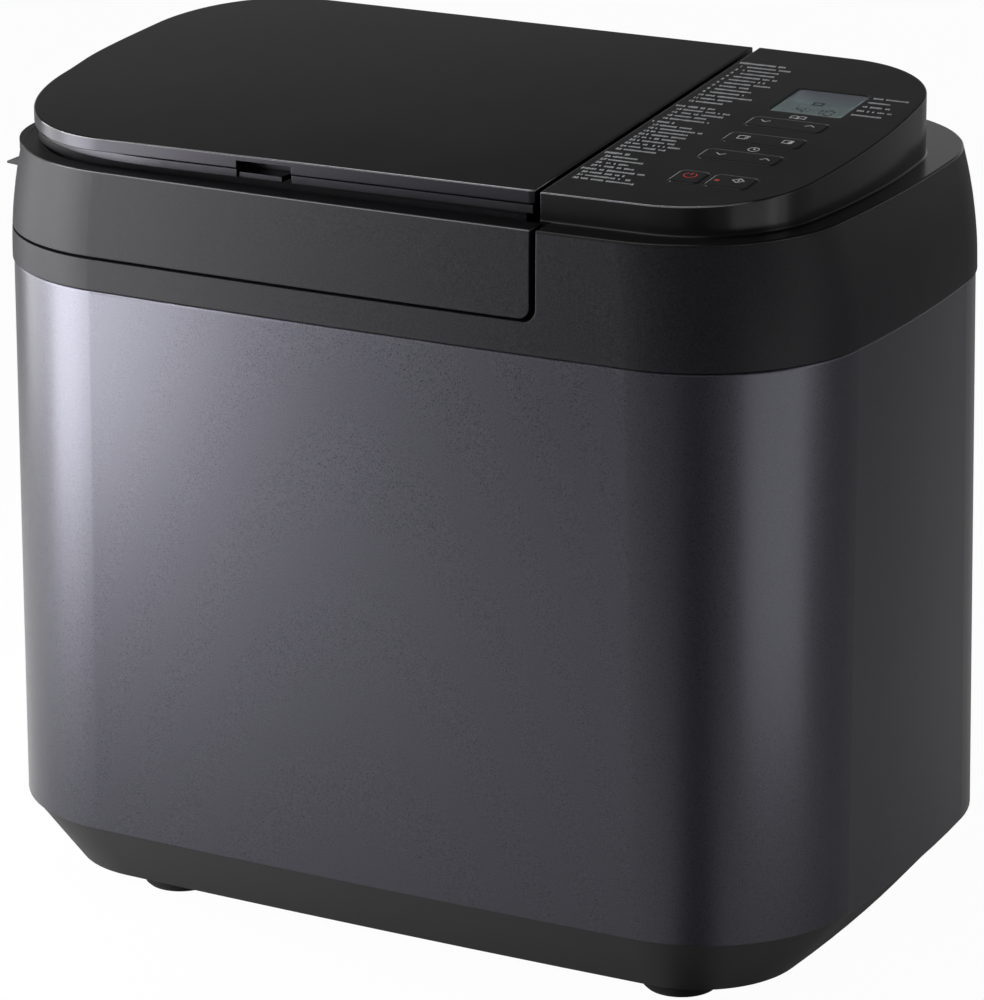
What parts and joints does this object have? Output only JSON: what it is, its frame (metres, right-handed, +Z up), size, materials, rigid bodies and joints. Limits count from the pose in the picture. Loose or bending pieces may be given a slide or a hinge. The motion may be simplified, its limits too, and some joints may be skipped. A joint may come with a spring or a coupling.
{
  "type": "bread machine",
  "caption": "Countertop bread machine with a painted wrap, hinged lid with a dispenser lid on top, sloping key panel and a belt-driven kneading pan inside.",
  "frame": {"origin": "middle of the footprint's bounding box, on the surface that the feet stand on", "axes": "+Z up, -Y to the front with the broad painted face, +X to the control panel's side"},
  "size_m": [0.4095, 0.252, 0.3619],
  "materials": {
    "wrap_paint": "metallic satin lacquer, cool purple grey",
    "rear_paint": "satin lacquer",
    "ring_plastic": "fine sparkle texture",
    "base_plastic": "matt",
    "gloss_black": "gloss",
    "rubber": "matt",
    "silicone": "satin",
    "clear_lens": "clear",
    "screen": "grey-green liquid crystal",
    "board": "coated laminate",
    "switch_plastic": "satin",
    "chamber_steel": "satin sheet",
    "pin_steel": "turned",
    "heater_sheath": "dark oxide",
    "chassis_steel": "zinc plated",
    "pan_coating": "non-stick coating",
    "blade_coating": "non-stick coating",
    "bush_brass": "turned",
    "motor_can": "plated",
    "pulley_plastic": "natural",
    "liner_metal": "satin",
    "bin_plastic": "satin",
    "key_gloss": "gloss",
    "lamp_red": "clear red"
  },
  "bodies": {
    "housing": {"base_tray": "base_plastic", "feet": "rubber", "body_wrap": "wrap_paint", "rear_panel": "rear_paint", "cord_gland": "rubber", "upper_housing": "ring_plastic", "lid_hinge_pins": "pin_steel", "control_console": "gloss_black", "display_lens": "clear_lens", "display_module": "screen", "control_board": "board", "tact_switches": "switch_plastic", "power_board": "board", "baking_chamber": "chamber_steel", "temperature_sensor": "pin_steel", "heating_element": "heater_sheath", "heater_clips": "chassis_steel", "pan_seat": "chassis_steel", "drive_chassis": "chassis_steel", "drive_bearing": "bush_brass", "drive_motor": "motor_can", "drive_belt": "rubber"},
    "drive": {"drive_shaft": "pin_steel", "driven_pulley": "pulley_plastic", "drive_coupling": "chassis_steel"},
    "motor_rotor": {"motor_shaft": "pin_steel", "motor_pulley": "chassis_steel"},
    "pan": {"bread_pan": "pan_coating", "pan_studs": "pin_steel", "pan_bushing": "bush_brass"},
    "handle": {"pan_handle": "chassis_steel"},
    "kneader": {"pan_shaft": "pin_steel", "kneading_blade": "blade_coating"},
    "lid": {"lid_cover": "ring_plastic", "lid_liner": "liner_metal", "lid_seal": "silicone", "steam_vent": "ring_plastic", "cover_pins": "pin_steel", "fruit_dispenser": "bin_plastic", "flap_pin": "pin_steel", "flap_solenoid": "motor_can"},
    "dispenser_lid": {"dispenser_lid_plate": "gloss_black", "dispenser_lid_frame": "base_plastic"},
    "flap": {"dispenser_flap": "bin_plastic"},
    "program_key": {"program_rocker": "key_gloss"},
    "option_key": {"option_rocker": "key_gloss"},
    "timer_key": {"timer_rocker": "key_gloss"},
    "stop_push": {"stop_key": "key_gloss"},
    "start_push": {"start_key": "key_gloss", "start_lamp": "lamp_red"}
  },
  "joints": [
    {"name": "lid_hinge", "type": "hinge", "parent": "housing", "child": "lid", "pos_m": [0.00275, 0.105, 0.326], "axis": [-1, 0, 0], "range_deg": [0, 80]},
    {"name": "dispenser_lid_hinge", "type": "hinge", "parent": "lid", "child": "dispenser_lid", "pos_m": [0.00275, 0.086, 0.35335], "axis": [-1, 0, 0], "range_deg": [0, 75]},
    {"name": "flap_hinge", "type": "hinge", "parent": "lid", "child": "flap", "pos_m": [0.00275, 0.069, 0.298], "axis": [1, 0, 0], "range_deg": [0, 75]},
    {"name": "pan_twist", "type": "hinge", "parent": "housing", "child": "pan", "pos_m": [-0.05525, -0.008, 0.0935], "axis": [0, 0, 1], "range_deg": [0, 12]},
    {"name": "handle_swing", "type": "hinge", "parent": "pan", "child": "handle", "pos_m": [-0.05525, -0.008, 0.212], "axis": [-1, 0, 0], "range_deg": [0, 90]},
    {"name": "drive_spin", "type": "hinge", "parent": "housing", "child": "drive", "pos_m": [-0.05525, -0.008, 0.034], "axis": [0, 0, 1], "continuous": true},
    {"name": "motor_spin", "type": "hinge", "parent": "housing", "child": "motor_rotor", "pos_m": [0.11275, -0.008, 0.034], "axis": [0, 0, 1], "continuous": true},
    {"name": "kneader_spin", "type": "hinge", "parent": "pan", "child": "kneader", "pos_m": [-0.05525, -0.008, 0.0935], "axis": [0, 0, 1], "continuous": true},
    {"name": "program_rock", "type": "hinge", "parent": "housing", "child": "program_key", "pos_m": [0.14215, 0.00156, 0.34991], "axis": [0, 0.9967, 0.0818], "range_deg": [-1.8, 1.8], "stiffness_Nm_per_rad": 0.06},
    {"name": "option_rock", "type": "hinge", "parent": "housing", "child": "option_key", "pos_m": [0.14215, -0.02004, 0.34814], "axis": [0, 0.9967, 0.0818], "range_deg": [-1.8, 1.8], "stiffness_Nm_per_rad": 0.06},
    {"name": "timer_rock", "type": "hinge", "parent": "housing", "child": "timer_key", "pos_m": [0.14215, -0.04264, 0.34629], "axis": [0, 0.9967, 0.0818], "range_deg": [-1.8, 1.8], "stiffness_Nm_per_rad": 0.06},
    {"name": "stop_press", "type": "slide", "parent": "housing", "child": "stop_push", "axis": [0, 0.0818, -0.9967], "range_m": [0, 0.0007], "stiffness_N_per_m": 400},
    {"name": "start_press", "type": "slide", "parent": "housing", "child": "start_push", "axis": [0, 0.0818, -0.9967], "range_m": [0, 0.0007], "stiffness_N_per_m": 400}
  ],
  "couplings": [
    {"joint": "motor_spin", "follows": "drive_spin", "ratio": 5.1111},
    {"joint": "kneader_spin", "follows": "drive_spin", "ratio": 1}
  ]
}
